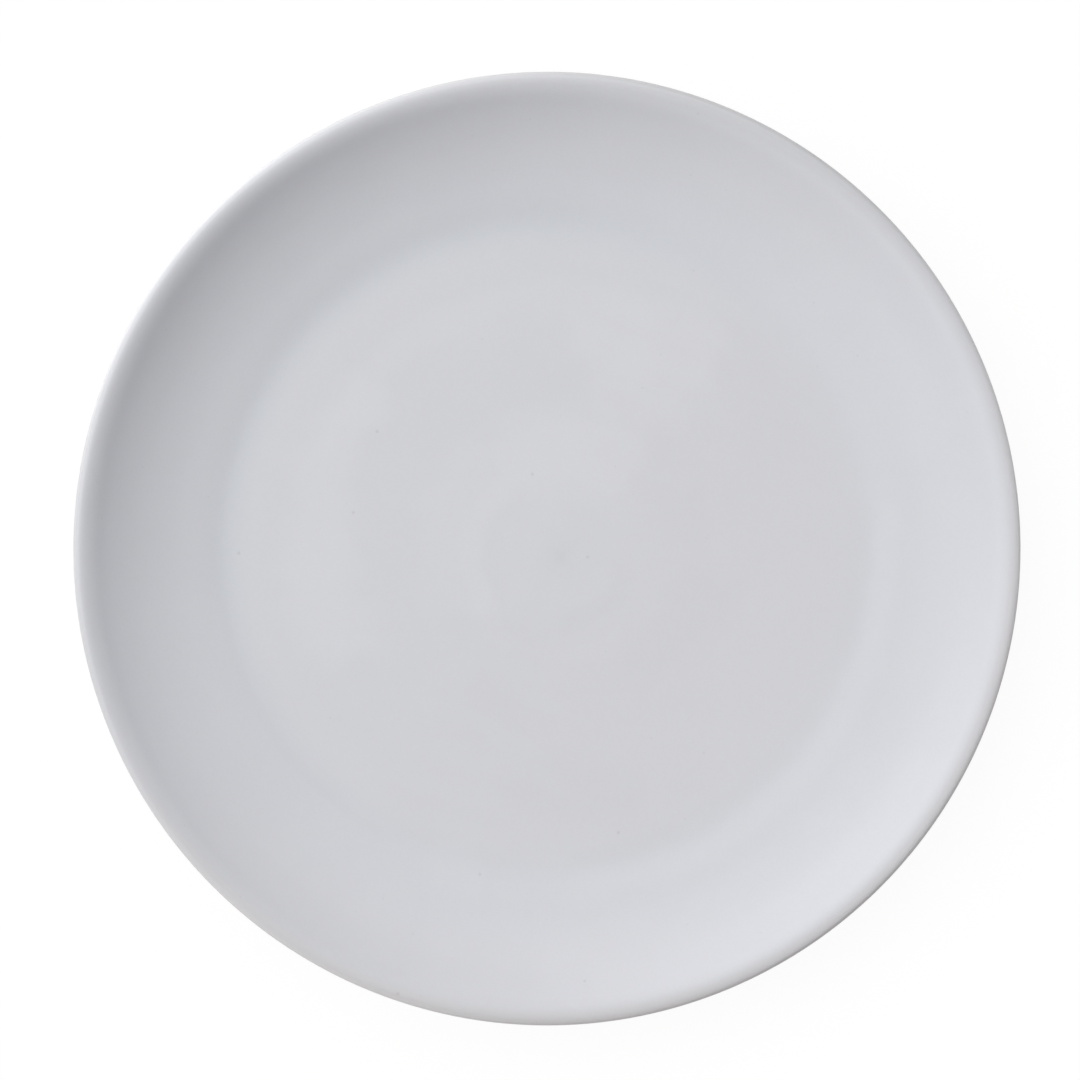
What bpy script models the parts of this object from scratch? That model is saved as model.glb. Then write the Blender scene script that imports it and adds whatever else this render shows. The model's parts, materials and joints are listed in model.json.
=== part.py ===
"""Pizza plate: a round coupe plate in glazed stoneware, with a flat floor, a flaring wall and a foot ring.

Run it with blender --background --python part.py, or from the text editor. Lengths are metres and +Z is up.
The origin is the middle of the foot ring's standing face. Each piece is turned about Z from a half section
of (radius, height) points, which starts on the axis at the top and runs clockwise: out along the upper side,
round the outer edge and back to the axis underneath.
"""

import itertools
import math
from typing import NamedTuple

import bpy
import numpy as np

# The finished plate, glaze included
PLATE_DIAMETER = 0.310
PLATE_HEIGHT = 0.0278  # from the table to the top of the lip
WALL_THICKNESS = 0.0062  # of the floor

# The face: a flat floor, a soft break, a straight flare, and a wall that steepens up to the rim
WELL_DIAMETER = 0.2126  # where the floor's plane meets the flare
FLOOR_BREAK_REACH = 0.0069  # how far the soft break between them reaches in along the floor
FLARE_BREAK_REACH = 0.0049  # and out along the flare
FLARE_ANGLE = 12.5  # degrees above level
FLARE_LENGTH = 0.0136  # up the flare, from the floor's plane to where the wall starts to steepen
RIM_ANGLE = 39.0  # degrees above level at the rim, the steepest place of the face
RIM_INSET = 0.0091  # of the rim, from the outline
RIM_DROP = 0.0034  # of the rim, below the top of the lip

# The lip, which rolls over from the rim to the outline and back underneath
LIP_INSET = 0.0025  # of the lip's top, from the outline
LIP_DROP = 0.0024  # of the outline, below the lip's top
LIP_THICKNESS = 0.0054  # from the lip's top down to its underside
LIP_UNDERCUT = 0.0024  # of the lip's underside, from the outline

# The foot ring
FOOT_DIAMETER = 0.196  # along the middle of the standing face
FOOT_WIDTH = 0.0050
FOOT_HEIGHT = 0.0034  # from the table to the glazed recess inside the ring
FOOT_DRAFT = 12.0  # degrees by which both its sides lean
FOOT_FILLET_REACH = 0.0018  # along the foot's side and along the underside
FOOT_EDGE_REACH = 0.0007  # of the rounded edges, along the side and the standing face
BARE_BAND = 0.0007  # of unglazed clay on the side, above the rounded edge

# The glaze
GLAZE_THICKNESS = 0.0004
BOND_GAP = 0.0003  # left between the clay and the glaze
COAT = BOND_GAP + GLAZE_THICKNESS

# Fineness of the turned surfaces
TURN_STEPS = 64
BREAK_CHORDS = 4
WALL_CHORDS = 5
LIP_CHORDS = 3
EDGE_CHORDS = 2
AXIS_MERGE = 0.00001

# Colours, linear
CLAY_COLOUR = (0.58, 0.50, 0.40)
CLAY_ROUGHNESS = 0.85
GLAZE_COLOUR = (0.67, 0.675, 0.705)
GLAZE_ROUGHNESS = 0.62

LEVEL = np.array([1.0, 0.0])
DOWN = np.array([0.0, -1.0])


class Knot(NamedTuple):
    """A place on a half section, the way the section heads there, and the chords that lead up to it."""

    place: np.ndarray
    heading: np.ndarray
    chords: int = 1


def point(radius, height):
    return np.array([radius, height])


def slope(degrees):
    """The heading that climbs outwards at this angle."""
    return np.array([math.cos(math.radians(degrees)), math.sin(math.radians(degrees))])


def unit(vector):
    return vector / np.linalg.norm(vector)


def under_coat(knot):
    """The knot moved from the glaze's surface in to the clay."""
    outward = point(-knot.heading[1], knot.heading[0])
    return knot._replace(place=knot.place - COAT * outward)


def rounded(before, corner, after, reach, chords, lead=1):
    """Two knots that round off a corner, each a reach away from it, with lead chords up to the first."""
    heading_in = unit(corner - before)
    heading_out = unit(after - corner)
    return [
        Knot(corner - reach * heading_in, heading_in, lead),
        Knot(corner + reach * heading_out, heading_out, chords),
    ]


def bend(start, end):
    """Points on a smooth curve from one knot to the next: an arc, where both turn alike from the chord."""
    span = np.linalg.norm(end.place - start.place)
    turn = math.acos(np.clip(start.heading @ end.heading, -1.0, 1.0))
    handle = span / (3 * math.cos(turn / 4) ** 2)
    after_start = start.place + handle * start.heading
    before_end = end.place - handle * end.heading
    t = np.linspace(0, 1, end.chords + 1)[1:, None]
    near_start = (1 - t) ** 3 * start.place + 3 * (1 - t) ** 2 * t * after_start
    near_end = 3 * (1 - t) * t**2 * before_end + t**3 * end.place
    return near_start + near_end


def trace(knots):
    """The points of the section that runs through these knots."""
    runs = [bend(start, end) for start, end in itertools.pairwise(knots)]
    return np.vstack([knots[0].place, *runs])


def offset(path, distance):
    """The path moved to its left, outwards on a section, and kept parallel to every chord."""
    along = np.diff(path, axis=0)
    along /= np.linalg.norm(along, axis=1, keepdims=True)
    normals = np.column_stack([-along[:, 1], along[:, 0]])
    before = np.vstack([normals[:1], normals])
    after = np.vstack([normals, normals[-1:]])
    mitre = (before + after) / (1 + (before * after).sum(axis=1, keepdims=True))
    return path + distance * mitre


def face_knots():
    """The clay from the axis to the rim."""
    floor = FOOT_HEIGHT + WALL_THICKNESS
    axis = point(0, floor)
    well_edge = point(WELL_DIAMETER / 2, floor)
    up_flare = slope(FLARE_ANGLE)
    rim = point(PLATE_DIAMETER / 2 - RIM_INSET, PLATE_HEIGHT - RIM_DROP)
    knots = [
        Knot(axis, LEVEL),
        Knot(well_edge - FLOOR_BREAK_REACH * LEVEL, LEVEL),
        Knot(well_edge + FLARE_BREAK_REACH * up_flare, up_flare, BREAK_CHORDS),
        Knot(well_edge + FLARE_LENGTH * up_flare, up_flare),
        Knot(rim, slope(RIM_ANGLE), WALL_CHORDS),
    ]
    return [under_coat(knot) for knot in knots]


def lip_knots():
    """The clay from the lip's top, round the outline, to the lip's underside."""
    outline = PLATE_DIAMETER / 2
    knots = [
        Knot(point(outline - LIP_INSET, PLATE_HEIGHT), LEVEL, LIP_CHORDS),
        Knot(point(outline, PLATE_HEIGHT - LIP_DROP), DOWN, LIP_CHORDS),
        Knot(point(outline - LIP_UNDERCUT, PLATE_HEIGHT - LIP_THICKNESS), -slope(RIM_ANGLE), LIP_CHORDS),
    ]
    return [under_coat(knot) for knot in knots]


def body_stretches():
    """The clay's section in three stretches: under the main coat, bare, and under the recess glaze."""
    face = face_knots()
    underside = offset(trace(face), 2 * COAT - WALL_THICKNESS)

    def below_wall(radius):
        return point(radius, np.interp(radius, underside[:, 0], underside[:, 1]))

    recess = FOOT_HEIGHT + COAT
    lean = recess * math.tan(math.radians(FOOT_DRAFT))
    outer_edge = point((FOOT_DIAMETER + FOOT_WIDTH) / 2, 0)
    inner_edge = point((FOOT_DIAMETER - FOOT_WIDTH) / 2, 0)
    outer_root = below_wall(outer_edge[0] + lean)
    inner_root = below_wall(inner_edge[0] - lean)
    axis = below_wall(0)

    bare = FOOT_EDGE_REACH + BARE_BAND
    glaze_down = unit(outer_edge - outer_root)
    glaze_up = unit(inner_root - inner_edge)
    outer_line = Knot(outer_edge - bare * glaze_down, glaze_down)
    inner_line = Knot(inner_edge + bare * glaze_up, glaze_up)
    fillet = min(FOOT_FILLET_REACH, np.linalg.norm(inner_root - inner_line.place) / 2)
    beyond_root = below_wall(outer_root[0] + fillet)

    under_main_coat = [
        *face,
        *lip_knots(),
        *rounded(beyond_root, outer_root, outer_edge, fillet, EDGE_CHORDS, lead=WALL_CHORDS),
        outer_line,
    ]
    bare_foot = [
        outer_line,
        *rounded(outer_root, outer_edge, inner_edge, FOOT_EDGE_REACH, EDGE_CHORDS),
        *rounded(outer_edge, inner_edge, inner_root, FOOT_EDGE_REACH, EDGE_CHORDS),
        inner_line,
    ]
    under_recess_glaze = [
        inner_line,
        *rounded(inner_edge, inner_root, axis, fillet, EDGE_CHORDS),
        Knot(axis, -LEVEL),
    ]
    return trace(under_main_coat), trace(bare_foot), trace(under_recess_glaze)


def ceramic(name, colour, roughness):
    material = bpy.data.materials.new(name)
    material.use_nodes = True
    shader = material.node_tree.nodes["Principled BSDF"]
    shader.inputs["Base Color"].default_value = (*colour, 1.0)
    shader.inputs["Roughness"].default_value = roughness
    shader.inputs["Metallic"].default_value = 0.0
    material.diffuse_color = (*colour, 1.0)
    return material


def turned(name, outline, material, parent, collection):
    """An object turned about Z from a half section that starts and ends on the axis."""
    mesh = bpy.data.meshes.new(name)
    corners = [(radius, 0.0, height) for radius, height in outline]
    mesh.from_pydata(corners, list(itertools.pairwise(range(len(corners)))), [])
    mesh.materials.append(material)
    piece = bpy.data.objects.new(name, mesh)
    piece.parent = parent
    collection.objects.link(piece)
    screw = piece.modifiers.new("Turn", "SCREW")
    screw.axis = "Z"
    screw.angle = math.tau
    screw.steps = TURN_STEPS
    screw.render_steps = TURN_STEPS
    screw.use_merge_vertices = True
    screw.merge_threshold = AXIS_MERGE
    screw.use_smooth_shade = True
    return piece


def main():
    for old in list(bpy.data.objects):
        bpy.data.objects.remove(old, do_unlink=True)
    collection = bpy.data.collections.new("pizza_plate")
    bpy.context.scene.collection.children.link(collection)
    plate = bpy.data.objects.new("pizza_plate", None)
    collection.objects.link(plate)

    stoneware = ceramic("bare stoneware", CLAY_COLOUR, CLAY_ROUGHNESS)
    glaze = ceramic("matte white glaze", GLAZE_COLOUR, GLAZE_ROUGHNESS)

    coated, bare, recess = body_stretches()
    body = np.vstack([coated, bare[1:], recess[1:]])
    coat = np.vstack([offset(coated, COAT), offset(coated, BOND_GAP)[::-1]])
    pool = np.vstack([offset(recess, BOND_GAP)[::-1], offset(recess, COAT)])

    turned("stoneware_body", body, stoneware, plate, collection)
    turned("glaze_coat", coat, glaze, plate, collection)
    turned("recess_glaze", pool, glaze, plate, collection)


main()
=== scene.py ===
"""Looks of the pizza plate: finely turned glaze and clay with procedural finishes, in soft light.

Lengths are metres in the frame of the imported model: +Z is up and the origin is the middle of the foot
ring. The camera looks straight down, with +X to the right of the picture and +Y to its top. Half sections
are lists of (radius, height) points that start on the axis at the top and run clockwise, so outwards is to
their left.
"""

import itertools
import json
import math
from typing import NamedTuple

import bpy
import numpy as np
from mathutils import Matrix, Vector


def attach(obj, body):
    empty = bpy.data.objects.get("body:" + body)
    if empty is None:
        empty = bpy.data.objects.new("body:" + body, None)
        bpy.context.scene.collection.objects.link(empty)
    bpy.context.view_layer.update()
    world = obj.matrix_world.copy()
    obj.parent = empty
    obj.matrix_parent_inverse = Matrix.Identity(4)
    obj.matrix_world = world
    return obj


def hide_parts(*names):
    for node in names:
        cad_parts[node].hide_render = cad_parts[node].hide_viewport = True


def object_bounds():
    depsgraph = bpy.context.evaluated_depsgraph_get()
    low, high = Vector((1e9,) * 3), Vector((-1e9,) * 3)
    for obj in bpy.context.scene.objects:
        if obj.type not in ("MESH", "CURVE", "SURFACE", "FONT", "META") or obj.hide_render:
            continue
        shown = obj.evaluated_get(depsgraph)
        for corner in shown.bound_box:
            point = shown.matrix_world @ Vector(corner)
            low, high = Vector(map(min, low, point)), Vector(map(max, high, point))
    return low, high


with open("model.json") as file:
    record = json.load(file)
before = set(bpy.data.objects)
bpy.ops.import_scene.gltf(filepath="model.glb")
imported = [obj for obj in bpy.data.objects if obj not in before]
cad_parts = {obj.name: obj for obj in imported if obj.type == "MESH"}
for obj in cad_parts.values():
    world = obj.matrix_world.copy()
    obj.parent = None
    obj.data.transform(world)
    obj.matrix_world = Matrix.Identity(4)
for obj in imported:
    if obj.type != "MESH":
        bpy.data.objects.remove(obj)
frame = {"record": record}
cad_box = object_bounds()
mounts = {mount["name"]: mount["pos_m"] for mount in frame["record"]["mounts"]}

# The finished plate, from the frame
CLEARANCE = 0.00001  # by which the finer surfaces stay inside the solids' box
OUTLINE = (cad_box[1].x - cad_box[0].x) / 2
HEIGHT = cad_box[1].z - CLEARANCE
FLOOR_HEIGHT = mounts["well_floor"][2]
FOOT_RADIUS = math.hypot(mounts["foot_standing_face"][0], mounts["foot_standing_face"][1])

# The section, with the sizes of the solids
WALL_THICKNESS = 0.0062
WELL_RADIUS = 0.1063
FLOOR_BREAK_REACH = 0.0069
FLARE_BREAK_REACH = 0.0049
FLARE_ANGLE = 12.5
FLARE_LENGTH = 0.0136
RIM_ANGLE = 39.0
RIM_INSET = 0.0091
RIM_DROP = 0.0034
LIP_INSET = 0.0025
LIP_DROP = 0.0024
LIP_THICKNESS = 0.0054
LIP_UNDERCUT = 0.0024
FOOT_WIDTH = 0.0050
FOOT_DRAFT = 12.0
FOOT_FILLET_REACH = 0.0018
FOOT_EDGE_REACH = 0.0007
BARE_BAND = 0.0007
COAT = 0.0007  # from the clay to the surface of the glaze
SEAT = 0.00004  # left between the clay and the underside of the glaze

# Fineness of the turned meshes
TURN_STEPS = 288
SHOWN_FINENESS = 4
SHOWN_SPACING = 0.0014  # of the rings on the floor
HIDDEN_FINENESS = 2
HIDDEN_SPACING = 0.017
BEAD_POINTS = 6  # round the edge of the glaze

# Chords of each curve at a fineness of 1
BREAK_CHORDS = 4
WALL_CHORDS = 6
LIP_CHORDS = 4
UNDERCUT_CHORDS = 3
OUTSIDE_CHORDS = 8
FOOT_CHORDS = 2

# The photograph's frame, in pixels, and the plate's place in it
PHOTO_SIDE = 1080
PHOTO_CENTRE = (547.1, 548.6)
PHOTO_LONG_RADIUS = 477.0

# The plate is a little oval; angles are anticlockwise from +X
OVALITY = 0.0069  # by which the short diameter falls below the long one
LONG_AXIS = math.radians(87)
LIP_CRESTS = 3  # slight ones, of the outline
LIP_CREST = math.radians(62)
LIP_WAVE = 0.00005  # half their height
LIP_WAVE_POWER = 4  # of the radius, with which they grow outwards

# The potter's marks: a dimple in the floor, ripples in the lower wall and ridges outside
SWIRL_CENTRE = (0.0045, -0.0027)
DIMPLE_RADIUS = 0.0026
DIMPLE_DEPTH = 0.00005
RIPPLE_SPACING = 0.018
RIPPLE_DEPTH = 0.00004  # half the height from trough to crest
RIPPLE_LEAD = 0.004  # inside the well's edge, over which the ripples start
RIPPLE_FADE = (0.020, 0.034)  # beyond the well's edge, over which they end
RIDGE_SPACING = 0.0062
RIDGE_DEPTH = 0.00005  # half the height from groove to ridge
RIDGE_FADE = 0.003  # of the ridges, below the lip
RIDGE_START = (0.006, 0.012)  # of the ridges, outside the middle of the foot

# Tints against the glaze's general colour on the floor, some of them painted light and shade, and the
# lengths over which they come in
# Painted shade: the wall a little darker and cooler than the floor
WALL_PAINTED_SHADE = (0.972, 0.975, 0.982)
WALL_INNER_FADE = (-0.0095, 0.0038)  # from the well's edge
WALL_OUTER_FADE = (0.0, 0.010)  # from the outline
POOL_TINT = (0.987, 1.000, 1.004)  # where the glaze pools at the well's edge, on one side
POOL_FADE = (0.0075, 0.0010)
POOL_AZIMUTH = math.radians(132)
POOL_SIDE = (-0.1, 0.7)  # cosines from the azimuth
# Painted shade on the lip's crest
CREST_PAINTED_SHADE = (0.945, 0.945, 0.945)
CREST_INNER_FADE = (0.0070, 0.0034)
CREST_OUTER_FADE = (0.0012, 0.0028)
LIP_PAINTED_HIGHLIGHT = (1.10, 1.10, 1.10)  # painted highlight on the lip's edge, towards the light
GLEAM_FADE = (0.0007, 0.0003)
GLEAM_AZIMUTH = math.radians(146)
GLEAM_SIDE = (0.915, 0.978)
WARM_PAINTED_BOUNCE = (1.010, 0.988, 0.970)  # painted warm bounce light, on the lip's shaded side
WARM_FADE = (0.0055, 0.0018)
WARM_AZIMUTH = math.radians(-65)
WARM_SIDE = (-0.6, 1.0)
ROSE_TINT = (1.003, 0.996, 0.989)  # on two sides of the upper wall
ROSE_FADE = (0.040, 0.014)
ROSE_AZIMUTH = math.radians(75)
ROSE_SIDES = (-0.2, 0.8)  # cosines of twice the angle from the azimuth
BLUSH_TINT = (0.999, 0.987, 0.988)  # on one side of the floor
BLUSH_AZIMUTH = math.radians(-25)
BLUSH_SIDE = (-0.2, 0.5)
BLUSH_SWAY = 0.22
BLUSH_INNER_FADE = (0.012, 0.045)
BLUSH_OUTER_FADE = (0.108, 0.088)
DIMPLE_SHADE = 0.028
HALO_RADIUS = 0.009
HALO_SHADE = 0.010

# Edges of the marks in the glaze
MARK_EDGE = (1.6, 0.4)  # shares of a mark's half width between which its tone comes in
MARK_SWAY = 0.12  # unevenness, as a share of the half width
MARK_END_REACH = 0.006
MARK_END_SWAY = 0.35  # as a share of that reach
SWAY_LENGTHS = (0.012, 0.016, 0.021, 0.027, 0.033, 0.040)
SWAY_SEED_EDGES = 21
SWAY_SEED_ENDS = 22
SWAY_SEED_BLUSH = 23

# The wiped edge of the glaze on the foot
WIPE_WANDER = 0.00022
WIPE_FADE = 0.0012
COAT_WIPE_COUNTS = (5, 9, 14, 23, 31)  # of waves round the foot
COAT_WIPE_SEED = 7
POOL_WIPE_COUNTS = (4, 7, 13, 19, 29)
POOL_WIPE_SEED = 11

# Iron specks that show on the face, as (x, y)
SPECK_RADIUS = 0.0008
SPECK_CORE = 0.0002  # within which a speck is darkest
SPECKS = [
    (-0.0048, 0.0244),
    (0.0133, -0.0028),
    (0.1368, 0.0446),
    (-0.1011, -0.0015),
    (-0.0635, 0.0118),
    (-0.0557, 0.0384),
    (0.0123, -0.1409),
    (0.0234, -0.0932),
    (-0.0220, -0.1068),
    (-0.0485, -0.1445),
]

# Colours, linear
GLAZE_DEEP = (0.668, 0.675, 0.707, 1.0)
GLAZE_PALE = (0.677, 0.684, 0.716, 1.0)
GLAZE_ROSY = (1.004, 0.997, 0.999, 1.0)  # factors
GLAZE_COOL = (0.996, 1.003, 1.001, 1.0)
GLAZE_GRAIN = (0.50, 0.50, 0.52, 1.0)
GLAZE_SPECK = (0.33, 0.31, 0.30, 1.0)
CLAY_DEEP = (0.52, 0.43, 0.33, 1.0)
CLAY_PALE = (0.62, 0.54, 0.43, 1.0)
CLAY_GROG = (0.34, 0.26, 0.19, 1.0)
CLAY_SCUFF = (0.40, 0.38, 0.35, 1.0)

# Sizes of the textures
CLOUD_SIZE = 0.026
MOTTLE_SIZE = 0.0026
GRAIN_SIZE = 0.0009
PEEL_SIZE = 0.0024
PINHOLE_SPACING = 0.0095
CLAY_CLOUD_SIZE = 0.011
CLAY_GRAIN_SIZE = 0.0005
GROG_SPACING = 0.0016
SCUFF_HEIGHT = 0.0004

# Finishes: the range of a texture over which each detail comes in, and how strongly it shows
NOISE_RANGE = (0.3, 0.7)
GRAIN_RANGE = (0.35, 0.75)
GRAIN_SHARE = 0.05
PINHOLE_RANGE = (0.015, 0.045)
PINHOLE_SHARE = 0.15
PINHOLE_DEPTH = 0.8  # against the bump's distance
PEEL_HEIGHT = 0.6
SPECK_SHARE = 0.20
GLAZE_BUMP = {"Strength": 0.25, "Distance": 0.0001}
GLAZE_ROUGHNESS_RANGE = (0.25, 0.75)
GLAZE_ROUGHNESS = (0.60, 0.68)
GLAZE_IOR = 1.5
GROG_RANGE = (0.12, 0.26)
GROG_SHARE = 0.45
GROG_DEPTH = 0.4
SCUFF_RANGE = (0.35, 0.65)
SCUFF_SHARE = 0.35
CLAY_BUMP = {"Strength": 0.5, "Distance": 0.00012}
CLAY_ROUGHNESS = (0.78, 0.92)
SPECULAR_LEVEL = 0.3

# Stage, light and camera
STAGE_SIDE = 12.0
STAGE_DROP = 0.0001
STAGE_PAINT = (0.86, 0.815, 0.755, 1.0)  # which lights the plate from below
STAGE_SHADED = (0.07, 0.07, 0.07, 1.0)  # which is seen, and darkens in the plate's shadow
STAGE_GLOW = 0.940  # which is seen, and doesn't
WHITE = (1.0, 1.0, 1.0, 1.0)
SUN_AZIMUTH = math.radians(145)
SUN_ELEVATION = math.radians(52)
SUN_SPREAD = math.radians(60)
SUN_STRENGTH = 2.172
SKY_STRENGTH = 0.06
SKY_SIDES = 1.226  # by which the sky is brighter at the horizon on both sides of the sun
LENS = 180.0
SENSOR = 36.0
CLIP_END = 100.0

LEVEL = np.array([1.0, 0.0])
DOWN = np.array([0.0, -1.0])
TURN_ANGLES = np.linspace(0, math.tau, TURN_STEPS, endpoint=False)


class Mark(NamedTuple):
    """A patch of paler or darker glaze along an arc, with the radius and the half width at both its ends."""

    ends: tuple  # degrees
    radii: tuple
    half_widths: tuple
    paler: float


# Marks that the potter's hand left in the glaze of the floor, about the swirl's centre
FLOOR_MARKS = [
    Mark((50, 126), (0.0352, 0.0350), (0.0125, 0.0118), 0.030),
    Mark((124, 206), (0.0385, 0.0390), (0.0110, 0.0085), 0.018),
    Mark((106, 212), (0.0298, 0.0300), (0.0052, 0.0042), 0.029),
    Mark((50, 80), (0.0560, 0.0560), (0.0092, 0.0088), 0.024),
    Mark((52, 87), (0.0745, 0.0760), (0.0135, 0.0125), 0.031),
    Mark((86, 142), (0.0850, 0.0858), (0.0060, 0.0045), 0.018),
    Mark((86, 120), (0.0800, 0.0820), (0.0090, 0.0070), 0.009),
    Mark((138, 205), (0.0838, 0.0780), (0.0080, 0.0130), 0.031),
    Mark((75, 235), (0.0155, 0.0155), (0.0085, 0.0080), 0.010),
    Mark((32, 52), (0.0300, 0.0300), (0.0026, 0.0030), 0.012),
    Mark((214, 312), (0.0325, 0.0325), (0.0028, 0.0028), 0.008),
    Mark((272, 342), (0.0217, 0.0217), (0.0034, 0.0030), -0.016),
    Mark((300, 357), (0.0430, 0.0480), (0.0085, 0.0110), -0.013),
    Mark((255, 287), (0.0765, 0.0765), (0.0095, 0.0085), -0.011),
    Mark((0, 28), (0.0415, 0.0420), (0.0085, 0.0080), -0.010),
]
# And on the wall, about the axis
WALL_MARKS = [
    Mark((270, 318), (0.1350, 0.1350), (0.0110, 0.0110), 0.012),
    Mark((330, 375), (0.1295, 0.1295), (0.0180, 0.0180), -0.013),
    Mark((250, 258), (0.1095, 0.1095), (0.0075, 0.0075), 0.012),
    Mark((259, 261), (0.1095, 0.1095), (0.0075, 0.0075), -0.016),
    Mark((36, 84), (0.1100, 0.1100), (0.0120, 0.0120), 0.009),
    Mark((150, 240), (0.1083, 0.1083), (0.0018, 0.0018), -0.012),
    Mark((274, 366), (0.1030, 0.1030), (0.0042, 0.0042), -0.012),
    Mark((274, 366), (0.1108, 0.1108), (0.0046, 0.0046), 0.015),
]


class Wave(NamedTuple):
    """A slow change of tone round the plate, on a ring of the wall or the lip: partly the glaze's own,
    partly painted light and shade.
    """

    count: int  # of crests
    crest: float  # degrees
    paler: float
    insets: tuple  # from the outline: of the ring's start, of where it is full, from and to, and of its end


# The crests and strengths started from fits to the photograph, and were rounded and adjusted. On the
# lip the waves also make up for what the lamps leave out of the photographed light. A ring that runs on to
# the outline ends past it.
# On the wall the waves are partly the glaze's tone and partly painted light and shade; on the lip's edge
# they are painted highlight and painted shade.
TONE_AND_LIGHT_WAVES = [
    Wave(2, 49, 0.014, (0.052, 0.044, 0.022, 0.015)),
    Wave(3, 78, 0.019, (0.026, 0.010, 0.007, 0.002)),
    Wave(1, 48, 0.016, (0.011, 0.006, 0.004, 0.0028)),
    Wave(1, 92, 0.038, (0.0042, 0.0026, 0.0018, 0.0009)),
    Wave(1, 145, 0.090, (0.0011, 0.0006, 0.0, -0.001)),
    Wave(2, 148, 0.090, (0.0037, 0.0006, 0.0, -0.001)),
    Wave(3, 116, 0.030, (0.0070, 0.0016, 0.0, -0.001)),
    Wave(3, 8, 0.068, (0.0015, 0.0007, 0.0, -0.001)),
]


class Knot(NamedTuple):
    """A place on a half section, the way the section heads there, and the chords that lead up to it."""

    place: np.ndarray
    heading: np.ndarray
    chords: int = 1


def point(radius, height):
    return np.array([radius, height])


def slope(degrees):
    """The heading that climbs outwards at this angle."""
    return np.array([math.cos(math.radians(degrees)), math.sin(math.radians(degrees))])


def unit(vector):
    return vector / np.linalg.norm(vector)


def under_coat(knot):
    """The knot moved from the glaze's surface in to the clay."""
    normal = point(-knot.heading[1], knot.heading[0])
    return knot._replace(place=knot.place - COAT * normal)


def rounded(before, corner, after, reach, chords, lead=1):
    """Two knots that round off a corner, each a reach away from it, with lead chords up to the first."""
    heading_in = unit(corner - before)
    heading_out = unit(after - corner)
    return [
        Knot(corner - reach * heading_in, heading_in, lead),
        Knot(corner + reach * heading_out, heading_out, chords),
    ]


def bend(start, end):
    """Points on a smooth curve from one knot to the next: an arc, where both turn alike from the chord."""
    span = np.linalg.norm(end.place - start.place)
    turn = math.acos(np.clip(start.heading @ end.heading, -1.0, 1.0))
    handle = span / (3 * math.cos(turn / 4) ** 2)
    after_start = start.place + handle * start.heading
    before_end = end.place - handle * end.heading
    t = np.linspace(0, 1, end.chords + 1)[1:, None]
    near_start = (1 - t) ** 3 * start.place + 3 * (1 - t) ** 2 * t * after_start
    near_end = 3 * (1 - t) * t**2 * before_end + t**3 * end.place
    return near_start + near_end


def trace(knots):
    """The points of the section that runs through these knots."""
    runs = [bend(start, end) for start, end in itertools.pairwise(knots)]
    return np.vstack([knots[0].place, *runs])


def outward(path):
    """At each point of a section, the step outwards that keeps a parallel section at a distance of 1."""
    along = np.diff(path, axis=0)
    along /= np.linalg.norm(along, axis=1, keepdims=True)
    normals = np.column_stack([-along[:, 1], along[:, 0]])
    before = np.vstack([normals[:1], normals])
    after = np.vstack([normals, normals[-1:]])
    return (before + after) / (1 + (before * after).sum(axis=1, keepdims=True))


def offset(path, distance):
    return path + distance * outward(path)


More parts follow.
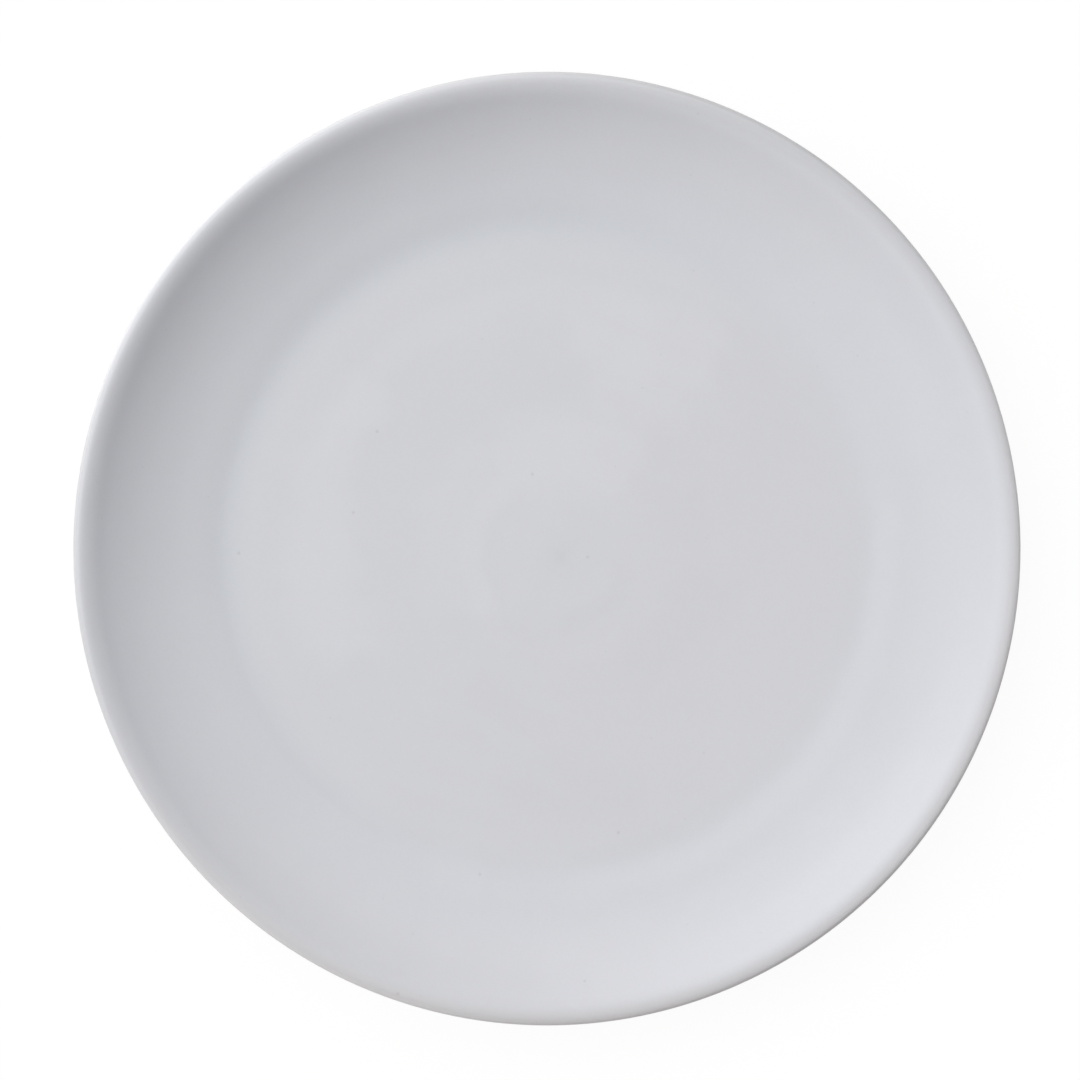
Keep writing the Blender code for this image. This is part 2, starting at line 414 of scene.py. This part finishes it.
def clay_stretches(fineness, floor_spacing):
    """The clay's section in three stretches: under the main coat, bare, and under the recess glaze."""
    floor_chords = round(WELL_RADIUS / floor_spacing)
    axis = point(0, FLOOR_HEIGHT)
    well_edge = point(WELL_RADIUS, FLOOR_HEIGHT)
    up_flare = slope(FLARE_ANGLE)
    rim = point(OUTLINE - RIM_INSET, HEIGHT - RIM_DROP)
    under_lip = point(OUTLINE - LIP_UNDERCUT, HEIGHT - LIP_THICKNESS)
    face = [
        Knot(axis, LEVEL),
        Knot(well_edge - FLOOR_BREAK_REACH * LEVEL, LEVEL, floor_chords),
        Knot(well_edge + FLARE_BREAK_REACH * up_flare, up_flare, BREAK_CHORDS * fineness),
        Knot(well_edge + FLARE_LENGTH * up_flare, up_flare, fineness),
        Knot(rim, slope(RIM_ANGLE), WALL_CHORDS * fineness),
    ]
    lip = [
        Knot(point(OUTLINE - LIP_INSET, HEIGHT), LEVEL, LIP_CHORDS * fineness),
        Knot(point(OUTLINE, HEIGHT - LIP_DROP), DOWN, LIP_CHORDS * fineness),
        Knot(under_lip, -slope(RIM_ANGLE), UNDERCUT_CHORDS * fineness),
    ]
    face = [under_coat(knot) for knot in face]
    lip = [under_coat(knot) for knot in lip]
    underside = offset(trace(face), 2 * COAT - WALL_THICKNESS)

    def below_wall(radius):
        return point(radius, np.interp(radius, underside[:, 0], underside[:, 1]))

    recess = below_wall(0)
    lean = recess[1] * math.tan(math.radians(FOOT_DRAFT))
    outer_edge = point(FOOT_RADIUS + FOOT_WIDTH / 2, 0)
    inner_edge = point(FOOT_RADIUS - FOOT_WIDTH / 2, 0)
    outer_root = below_wall(outer_edge[0] + lean)
    inner_root = below_wall(inner_edge[0] - lean)
    bare = FOOT_EDGE_REACH + BARE_BAND
    glaze_down = unit(outer_edge - outer_root)
    glaze_up = unit(inner_root - inner_edge)
    outer_line = Knot(outer_edge - bare * glaze_down, glaze_down, fineness)
    inner_line = Knot(inner_edge + bare * glaze_up, glaze_up, fineness)
    fillet = min(FOOT_FILLET_REACH, np.linalg.norm(inner_root - inner_line.place) / 2)
    beyond_root = below_wall(outer_root[0] + fillet)
    turn = FOOT_CHORDS * fineness

    under_main_coat = [
        *face,
        *lip,
        *rounded(beyond_root, outer_root, outer_edge, fillet, turn, lead=OUTSIDE_CHORDS * fineness),
        outer_line,
    ]
    bare_foot = [
        outer_line,
        *rounded(outer_root, outer_edge, inner_edge, FOOT_EDGE_REACH, turn),
        *rounded(outer_edge, inner_edge, inner_root, FOOT_EDGE_REACH, turn, lead=fineness),
        inner_line,
    ]
    under_recess_glaze = [
        inner_line,
        *rounded(inner_edge, inner_root, recess, fillet, turn),
        Knot(recess, -LEVEL, floor_chords),
    ]
    return trace(under_main_coat), trace(bare_foot), trace(under_recess_glaze)


def bead(outer_end, inner_end, heading):
    """Points of the rounded edge where a glaze coat ends, from its outer to its inner surface."""
    middle = (outer_end + inner_end) / 2
    across = (outer_end - inner_end) / 2
    ahead = np.linalg.norm(across) * heading
    angles = np.linspace(0, math.pi, BEAD_POINTS + 2)[1:-1]
    return np.array([middle + math.cos(angle) * across + math.sin(angle) * ahead for angle in angles])


def fade(value, start, end):
    """0 up to start, 1 from end, and smooth between; or the other way round, where end lies below start."""
    t = np.clip((value - start) / (end - start), 0, 1)
    return t * t * (3 - 2 * t)


def wander(counts, seed):
    """A smooth closed wave round the plate, about 1 high, from waves with these counts."""
    phases = np.random.default_rng(seed).uniform(0, math.tau, len(counts))
    waves = [np.sin(count * TURN_ANGLES + phase) for count, phase in zip(counts, phases)]
    return sum(waves) / math.sqrt(len(counts) / 2)


def ridged(path, outline):
    """The section with a thrower's faint ridges outside, between the outline's point and the foot."""
    steps = np.linalg.norm(np.diff(path, axis=0), axis=1)
    run = np.concatenate([[0], np.cumsum(steps)])
    below_lip = fade(path[:, 1], HEIGHT - LIP_THICKNESS, HEIGHT - LIP_THICKNESS - RIDGE_FADE)
    off_foot = fade(path[:, 0] - FOOT_RADIUS, *RIDGE_START)
    outside = (np.arange(len(path)) > outline) * below_lip * off_foot
    height = RIDGE_DEPTH * outside * (np.sin(math.tau * run / RIDGE_SPACING) - 1)
    return path + height[:, None] * outward(path)


def sway(places, seed):
    """A smooth uneven field over the plate, about 1 high, from plane waves of several lengths."""
    draw = np.random.default_rng(seed)
    field = np.zeros(places.shape[:-1])
    for length in SWAY_LENGTHS:
        heading, phase = draw.uniform(0, math.tau, 2)
        along = places[..., 0] * math.cos(heading) + places[..., 1] * math.sin(heading)
        field += np.sin(math.tau * along / length + phase)
    return field / math.sqrt(len(SWAY_LENGTHS) / 2)


def polar(places, centre=(0, 0)):
    """Distance and direction, in radians, of the places from this centre, seen from above."""
    x = places[..., 0] - centre[0]
    y = places[..., 1] - centre[1]
    return np.hypot(x, y), np.arctan2(y, x)


def marked(places, centre, marks):
    """By how much the marks about this centre make the glaze paler at each place."""
    radius, angle = polar(places, centre)
    end_reach = np.degrees(MARK_END_REACH / np.maximum(radius, MARK_END_REACH))
    degrees = np.degrees(angle) + MARK_END_SWAY * end_reach * sway(places, SWAY_SEED_ENDS)
    uneven = MARK_SWAY * sway(places, SWAY_SEED_EDGES)
    paler = np.zeros(radius.shape)
    darker = np.zeros(radius.shape)
    for mark in marks:
        middle = sum(mark.ends) / 2
        turn = (degrees - middle + 180) % 360 - 180 + middle
        half_width = np.interp(turn, mark.ends, mark.half_widths)
        away = (radius - np.interp(turn, mark.ends, mark.radii)) / half_width
        across = fade(np.abs(away + uneven), *MARK_EDGE)
        first = fade(turn, mark.ends[0] - end_reach, mark.ends[0] + end_reach)
        last = fade(turn, mark.ends[1] + end_reach, mark.ends[1] - end_reach)
        tone = mark.paler * across * first * last
        paler = np.maximum(paler, tone)
        darker = np.minimum(darker, tone)
    return paler + darker


def waved(inset, angle):
    """By how much the waves of tone and painted light make the glaze paler at each place."""
    paler = np.zeros(angle.shape)
    for wave in TONE_AND_LIGHT_WAVES:
        start, full_from, full_to, end = wave.insets
        ring = fade(inset, start, full_from) * fade(inset, end, full_to)
        paler += wave.paler * ring * np.cos(wave.count * (angle - math.radians(wave.crest)))
    return paler


def face_relief(places):
    """Height of the potter's marks on the face: a dimple at the swirl's centre, and ripples up the flare."""
    from_swirl, _ = polar(places, SWIRL_CENTRE)
    beyond = polar(places)[0] - WELL_RADIUS
    ripple = np.sin(math.tau * beyond / RIPPLE_SPACING)
    ripple *= fade(beyond, -RIPPLE_LEAD, 0) * fade(beyond, RIPPLE_FADE[1], RIPPLE_FADE[0])
    return RIPPLE_DEPTH * ripple - DIMPLE_DEPTH * np.exp(-((from_swirl / DIMPLE_RADIUS) ** 2))


def tinted(share, tint):
    """Colour factors that go from none to the tint with the share, from 0 to 1."""
    return 1 + share[..., None] * (np.array(tint) - 1)


def face_tint(path, places):
    """Colour factors on the face, at each turned place: the glaze's tones, and painted light and shade."""
    radius, angle = polar(places)
    from_swirl, _ = polar(places, SWIRL_CENTRE)
    tone = 1 + marked(places, SWIRL_CENTRE, FLOOR_MARKS) + marked(places, (0, 0), WALL_MARKS)
    tone -= DIMPLE_SHADE * np.exp(-((from_swirl / DIMPLE_RADIUS) ** 2))
    tone -= HALO_SHADE * np.exp(-((from_swirl / HALO_RADIUS) ** 2))

    uneven = BLUSH_SWAY * sway(places, SWAY_SEED_BLUSH)
    blush = fade(np.cos(angle - BLUSH_AZIMUTH) + uneven, *BLUSH_SIDE)
    blush *= fade(radius, *BLUSH_INNER_FADE) * fade(radius, *BLUSH_OUTER_FADE)
    beyond_well = path[:, :1] - WELL_RADIUS
    inset = OUTLINE - path[:, :1]
    tone += waved(inset, angle)
    wall_shade = fade(beyond_well, *WALL_INNER_FADE) * fade(inset, *WALL_OUTER_FADE)
    pool = fade(np.abs(beyond_well), *POOL_FADE) * fade(np.cos(angle - POOL_AZIMUTH), *POOL_SIDE)
    crest_shade = fade(inset, *CREST_INNER_FADE) * fade(inset, *CREST_OUTER_FADE)
    rose = fade(inset, *ROSE_FADE) * fade(np.cos(2 * (angle - ROSE_AZIMUTH)), *ROSE_SIDES)
    painted_highlight = fade(inset, *GLEAM_FADE) * fade(np.cos(angle - GLEAM_AZIMUTH), *GLEAM_SIDE)
    painted_bounce = fade(inset, *WARM_FADE) * fade(np.cos(angle - WARM_AZIMUTH), *WARM_SIDE)
    tints = [
        (blush, BLUSH_TINT),
        (wall_shade, WALL_PAINTED_SHADE),
        (pool, POOL_TINT),
        (crest_shade, CREST_PAINTED_SHADE),
        (rose, ROSE_TINT),
        (painted_highlight, LIP_PAINTED_HIGHLIGHT),
        (painted_bounce, WARM_PAINTED_BOUNCE),
    ]
    return tone[..., None] * math.prod(tinted(share, tint) for share, tint in tints)


def turned_places(path):
    """The section's points turned about Z, slightly oval, as an array of points by steps by 3."""
    radius = path[:, :1]
    share = radius / OUTLINE
    crests = np.cos(LIP_CRESTS * (TURN_ANGLES - LIP_CREST)) - 1
    uneven = LIP_WAVE * crests * share**LIP_WAVE_POWER
    squeeze = OVALITY * share * np.sin(TURN_ANGLES - LONG_AXIS) ** 2
    radii = radius * (1 - squeeze) + uneven
    heights = np.broadcast_to(path[:, 1:], radii.shape)
    return np.stack([radii * np.cos(TURN_ANGLES), radii * np.sin(TURN_ANGLES), heights], axis=-1)


def turned(name, places):
    """A closed, smooth mesh through the turned places, whose first and last points lie on the axis."""
    rings = places[1:-1]
    vertices = np.vstack([places[0, :1], rings.reshape(-1, 3), places[-1, :1]])
    here = 1 + np.arange(len(rings))[:, None] * TURN_STEPS + np.arange(TURN_STEPS)
    beside = np.roll(here, -1, axis=1)
    top = np.zeros(TURN_STEPS, int)
    bottom = np.full(TURN_STEPS, len(vertices) - 1)
    quads = np.stack([here[:-1], here[1:], beside[1:], beside[:-1]], axis=-1).reshape(-1, 4)
    crown = np.stack([top, here[0], beside[0]], axis=-1)
    base = np.stack([here[-1], bottom, beside[-1]], axis=-1)
    mesh = bpy.data.meshes.new(name)
    mesh.from_pydata(vertices.tolist(), [], [*crown.tolist(), *quads.tolist(), *base.tolist()])
    mesh.shade_smooth()
    piece = bpy.data.objects.new(name, mesh)
    bpy.context.scene.collection.objects.link(piece)
    return piece


def store(piece, name, values):
    """Keeps three numbers for each vertex, where values are laid out as the turned places are."""
    flat = np.vstack([values[0, :1], values[1:-1].reshape(-1, 3), values[-1, :1]])
    layer = piece.data.attributes.new(name, "FLOAT_VECTOR", "POINT")
    layer.data.foreach_set("vector", flat.astype(np.float32).ravel())


def wiped(path, line, heading, counts, seed):
    """Heights that let the glaze's edge wander up and down the foot near the line where it was wiped."""
    near = fade(np.linalg.norm(path - line, axis=1), WIPE_FADE, 0)
    return WIPE_WANDER * heading[1] * near[:, None] * wander(counts, seed)


def glaze_coat(coated, hidden):
    """The main coat: the face, lip and outside of the plate, ending in a wiped bead on the foot."""
    outer = offset(coated, COAT)
    outline = np.argmax(outer[:, 0])
    outer = ridged(outer, outline)
    inner = offset(hidden, SEAT)[::-1]
    heading = unit(coated[-1] - coated[-2])
    path = np.vstack([outer, bead(outer[-1], inner[0], heading), inner])
    places = turned_places(path)
    on_face = np.arange(len(path))[:, None] <= outline
    below_edge = fade(HEIGHT - path[:, 1:], LIP_DROP, LIP_THICKNESS)
    tint = face_tint(path, places)
    # The tints at the outline, painted highlight and shade among them, carry on down the lip's outside and
    # fade out towards its underside
    tint = np.where(on_face[..., None], tint, 1 + (tint[outline] - 1) * (1 - below_edge)[..., None])
    places[..., 2] += np.where(on_face, face_relief(places), 0)
    places[..., 2] += wiped(path, outer[-1], heading, COAT_WIPE_COUNTS, COAT_WIPE_SEED)
    piece = turned("plate_glaze", places)
    store(piece, "tint", tint)
    return piece


def recess_glaze(covered, hidden):
    """The pool of glaze inside the foot ring."""
    outer = offset(covered, COAT)
    inner = offset(hidden, SEAT)[::-1]
    heading = unit(covered[0] - covered[1])
    path = np.vstack([inner, bead(inner[-1], outer[0], heading), outer])
    places = turned_places(path)
    places[..., 2] += wiped(path, outer[0], heading, POOL_WIPE_COUNTS, POOL_WIPE_SEED)
    piece = turned("recess_pool", places)
    store(piece, "tint", np.ones(places.shape))
    return piece


def stoneware_body(coated, bare, covered):
    """The clay, of which only the foot's bare ring shows."""
    return turned("clay_body", turned_places(np.vstack([coated, bare[1:], covered[1:]])))


class Nodes:
    """Short calls that add nodes to a material's or the world's tree and link them."""

    def __init__(self, tree):
        self.tree = tree
        tree.nodes.clear()

    def feed(self, socket, value):
        if isinstance(value, bpy.types.NodeSocket):
            self.tree.links.new(value, socket)
        else:
            socket.default_value = value

    def add(self, kind, inputs=None, **settings):
        node = self.tree.nodes.new(kind)
        for name, value in settings.items():
            setattr(node, name, value)
        for name, value in (inputs or {}).items():
            self.feed(node.inputs[name], value)
        return node

    def math(self, operation, first, second):
        return self.add("ShaderNodeMath", {0: first, 1: second}, operation=operation).outputs[0]

    def times(self, first, second):
        return self.math("MULTIPLY", first, second)

    def between(self, value, span, to_low=0.0, to_high=1.0):
        """The value's range over a span, from low to high, mapped smoothly to another range."""
        inputs = {"Value": value, 1: span[0], 2: span[1], 3: to_low, 4: to_high}
        return self.add("ShaderNodeMapRange", inputs, interpolation_type="SMOOTHSTEP").outputs[0]

    def noise(self, place, size, detail):
        inputs = {"Vector": place, "Scale": 1 / size, "Detail": detail}
        return self.add("ShaderNodeTexNoise", inputs).outputs[0]

    def cells(self, place, spacing):
        """The distance to the nearest of scattered points, as a share of their spacing."""
        return self.add("ShaderNodeTexVoronoi", {"Vector": place, "Scale": 1 / spacing}).outputs["Distance"]

    def mix(self, share, first, second, blend="MIX"):
        node = self.add("ShaderNodeMix", data_type="RGBA", blend_type=blend)
        for socket, value in zip((node.inputs[0], node.inputs[6], node.inputs[7]), (share, first, second)):
            self.feed(socket, value)
        return node.outputs[2]

    def finish(self, shader, kind="ShaderNodeOutputMaterial"):
        self.add(kind, {"Surface": shader})


def new_material(name):
    material = bpy.data.materials.new(name)
    material.use_nodes = True
    return material, Nodes(material.node_tree)


def specks(nodes, place, spots):
    """1 in small spots at these places, and 0 elsewhere."""
    mask = 0.0
    for spot in spots:
        away = nodes.add("ShaderNodeVectorMath", {0: place, 1: spot}, operation="DISTANCE").outputs["Value"]
        mask = nodes.math("MAXIMUM", nodes.between(away, (SPECK_CORE, SPECK_RADIUS), 1.0, 0.0), mask)
    return mask


def glaze_material(spots):
    """Matte white glaze: cool, faintly mottled, with specks and pinholes, and the mesh's tints, painted
    light among them.
    """
    material, nodes = new_material("matte_white_glaze")
    place = nodes.add("ShaderNodeTexCoord").outputs["Object"]
    cloud = nodes.noise(place, CLOUD_SIZE, detail=3.0)
    mottle = nodes.noise(place, MOTTLE_SIZE, detail=2.0)
    grain = nodes.noise(place, GRAIN_SIZE, detail=2.0)
    peel = nodes.noise(place, PEEL_SIZE, detail=1.0)
    pinhole = nodes.between(nodes.cells(place, PINHOLE_SPACING), PINHOLE_RANGE, 1.0, 0.0)
    tint = nodes.add("ShaderNodeAttribute", attribute_name="tint").outputs["Color"]

    colour = nodes.mix(nodes.between(cloud, NOISE_RANGE), GLAZE_DEEP, GLAZE_PALE)
    hue = nodes.mix(nodes.between(mottle, NOISE_RANGE), GLAZE_ROSY, GLAZE_COOL)
    colour = nodes.mix(1.0, colour, hue, blend="MULTIPLY")
    colour = nodes.mix(nodes.between(grain, GRAIN_RANGE, 0.0, GRAIN_SHARE), colour, GLAZE_GRAIN)
    colour = nodes.mix(nodes.times(pinhole, PINHOLE_SHARE), colour, GLAZE_SPECK)
    colour = nodes.mix(nodes.times(specks(nodes, place, spots), SPECK_SHARE), colour, GLAZE_SPECK)
    colour = nodes.mix(1.0, colour, tint, blend="MULTIPLY")

    height = nodes.math("SUBTRACT", nodes.times(peel, PEEL_HEIGHT), nodes.times(pinhole, PINHOLE_DEPTH))
    bump = nodes.add("ShaderNodeBump", {"Height": height, **GLAZE_BUMP})
    shader = nodes.add(
        "ShaderNodeBsdfPrincipled",
        {
            "Base Color": colour,
            "Roughness": nodes.between(cloud, GLAZE_ROUGHNESS_RANGE, *GLAZE_ROUGHNESS),
            "Normal": bump.outputs[0],
            "IOR": GLAZE_IOR,
            "Specular IOR Level": SPECULAR_LEVEL,
        },
    )
    nodes.finish(shader.outputs[0])
    return material


def clay_material():
    """Bare fired stoneware: warm buff with fine grog, rough, and greyed by scuffs where it stands."""
    material, nodes = new_material("bare_stoneware")
    place = nodes.add("ShaderNodeTexCoord").outputs["Object"]
    cloud = nodes.noise(place, CLAY_CLOUD_SIZE, detail=4.0)
    grain = nodes.noise(place, CLAY_GRAIN_SIZE, detail=3.0)
    grog = nodes.between(nodes.cells(place, GROG_SPACING), GROG_RANGE, 1.0, 0.0)
    height = nodes.add("ShaderNodeSeparateXYZ", {0: place}).outputs["Z"]
    standing = nodes.between(height, (0.0, SCUFF_HEIGHT), 1.0, 0.0)
    scuffed = nodes.times(standing, nodes.between(cloud, SCUFF_RANGE))

    colour = nodes.mix(nodes.between(cloud, NOISE_RANGE), CLAY_DEEP, CLAY_PALE)
    colour = nodes.mix(nodes.times(grog, GROG_SHARE), colour, CLAY_GROG)
    colour = nodes.mix(nodes.times(scuffed, SCUFF_SHARE), colour, CLAY_SCUFF)
    rough = nodes.math("SUBTRACT", grain, nodes.times(grog, GROG_DEPTH))
    bump = nodes.add("ShaderNodeBump", {"Height": rough, **CLAY_BUMP})
    shader = nodes.add(
        "ShaderNodeBsdfPrincipled",
        {
            "Base Color": colour,
            "Roughness": nodes.between(grain, NOISE_RANGE, *CLAY_ROUGHNESS),
            "Normal": bump.outputs[0],
            "Specular IOR Level": SPECULAR_LEVEL,
        },
    )
    nodes.finish(shader.outputs[0])
    return material


def make_plate():
    fine = clay_stretches(SHOWN_FINENESS, SHOWN_SPACING)
    hidden = clay_stretches(HIDDEN_FINENESS, HIDDEN_SPACING)
    body = stoneware_body(hidden[0], fine[1], hidden[2])
    coat = glaze_coat(fine[0], hidden[0])
    pool = recess_glaze(fine[2], hidden[2])
    face = offset(fine[0], COAT)
    face = face[: np.argmax(face[:, 0])]
    spots = [(x, y, np.interp(math.hypot(x, y), face[:, 0], face[:, 1])) for x, y in SPECKS]
    glaze = glaze_material(spots)
    made = [
        (body, clay_material(), "stoneware_body", "stoneware"),
        (coat, glaze, "glaze_coat", "white_glaze"),
        (pool, glaze, "recess_glaze", "white_glaze"),
    ]
    for piece, material, node, slot in made:
        piece.data.materials.append(material)
        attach(piece, "root")
        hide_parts(node)


def seen_directly(nodes):
    """1 for rays from the camera, a mirror or clear glass, and 0 for those that only carry light."""
    ray = nodes.add("ShaderNodeLightPath").outputs
    sharp = nodes.math("MAXIMUM", ray["Is Glossy Ray"], ray["Is Transmission Ray"])
    return nodes.math("MAXIMUM", ray["Is Camera Ray"], sharp)


def stage_material():
    """Pale paint that gives light back, but looks white where nothing shades it."""
    material, nodes = new_material("pale_floor")
    paint = nodes.add("ShaderNodeBsdfDiffuse", {"Color": STAGE_PAINT}).outputs[0]
    shaded = nodes.add("ShaderNodeBsdfDiffuse", {"Color": STAGE_SHADED}).outputs[0]
    glow = nodes.add("ShaderNodeEmission", {"Strength": STAGE_GLOW}).outputs[0]
    looks = nodes.add("ShaderNodeAddShader", {0: shaded, 1: glow}).outputs[0]
    nodes.finish(nodes.add("ShaderNodeMixShader", {0: seen_directly(nodes), 1: paint, 2: looks}).outputs[0])
    return material


def make_stage():
    bpy.ops.mesh.primitive_plane_add(size=STAGE_SIDE, location=(0, 0, -STAGE_DROP))
    floor = bpy.context.object
    floor.name = "floor"
    floor.data.materials.append(stage_material())


def make_sky():
    """A sky that lights the plate from both sides of the sun, and looks white."""
    world = bpy.data.worlds.new("soft_sky")
    world.use_nodes = True
    nodes = Nodes(world.node_tree)
    towards = nodes.add("ShaderNodeTexCoord").outputs["Generated"]
    sideways = (-math.sin(SUN_AZIMUTH), math.cos(SUN_AZIMUTH), 0)
    share = nodes.add("ShaderNodeVectorMath", {0: towards, 1: sideways}, operation="DOT_PRODUCT")
    sides = nodes.times(nodes.math("POWER", share.outputs["Value"], 2.0), SKY_SIDES)
    strength = nodes.math("ADD", sides, SKY_STRENGTH)
    sky = nodes.add("ShaderNodeBackground", {"Color": WHITE, "Strength": strength}).outputs[0]
    white = nodes.add("ShaderNodeBackground", {"Color": WHITE, "Strength": 1.0}).outputs[0]
    mixed = nodes.add("ShaderNodeMixShader", {0: seen_directly(nodes), 1: sky, 2: white}).outputs[0]
    nodes.finish(mixed, "ShaderNodeOutputWorld")
    bpy.context.scene.world = world


def make_sun():
    light = bpy.data.lights.new("soft_key", "SUN")
    light.energy = SUN_STRENGTH
    light.angle = SUN_SPREAD
    lamp = bpy.data.objects.new("soft_key", light)
    level = math.cos(SUN_ELEVATION)
    lamp.location = (level * math.cos(SUN_AZIMUTH), level * math.sin(SUN_AZIMUTH), math.sin(SUN_ELEVATION))
    lamp.rotation_euler = lamp.location.to_track_quat("Z", "Y").to_euler()
    bpy.context.scene.collection.objects.link(lamp)


def make_camera():
    """Straight above the plate, at the distance where its outline has the photographed size."""
    pixels_per_metre = PHOTO_LONG_RADIUS / OUTLINE
    camera = bpy.data.cameras.new("camera")
    camera.lens = LENS
    camera.sensor_width = SENSOR
    camera.clip_end = CLIP_END
    view = bpy.data.objects.new("camera", camera)
    view.location = (
        (PHOTO_SIDE / 2 - PHOTO_CENTRE[0]) / pixels_per_metre,
        (PHOTO_CENTRE[1] - PHOTO_SIDE / 2) / pixels_per_metre,
        HEIGHT - LIP_DROP + LENS / SENSOR * PHOTO_SIDE / pixels_per_metre,
    )
    bpy.context.scene.collection.objects.link(view)
    bpy.context.scene.camera = view


make_stage()
make_sky()
make_sun()
make_camera()
make_plate()
bpy.context.scene.view_settings.view_transform = "Standard"
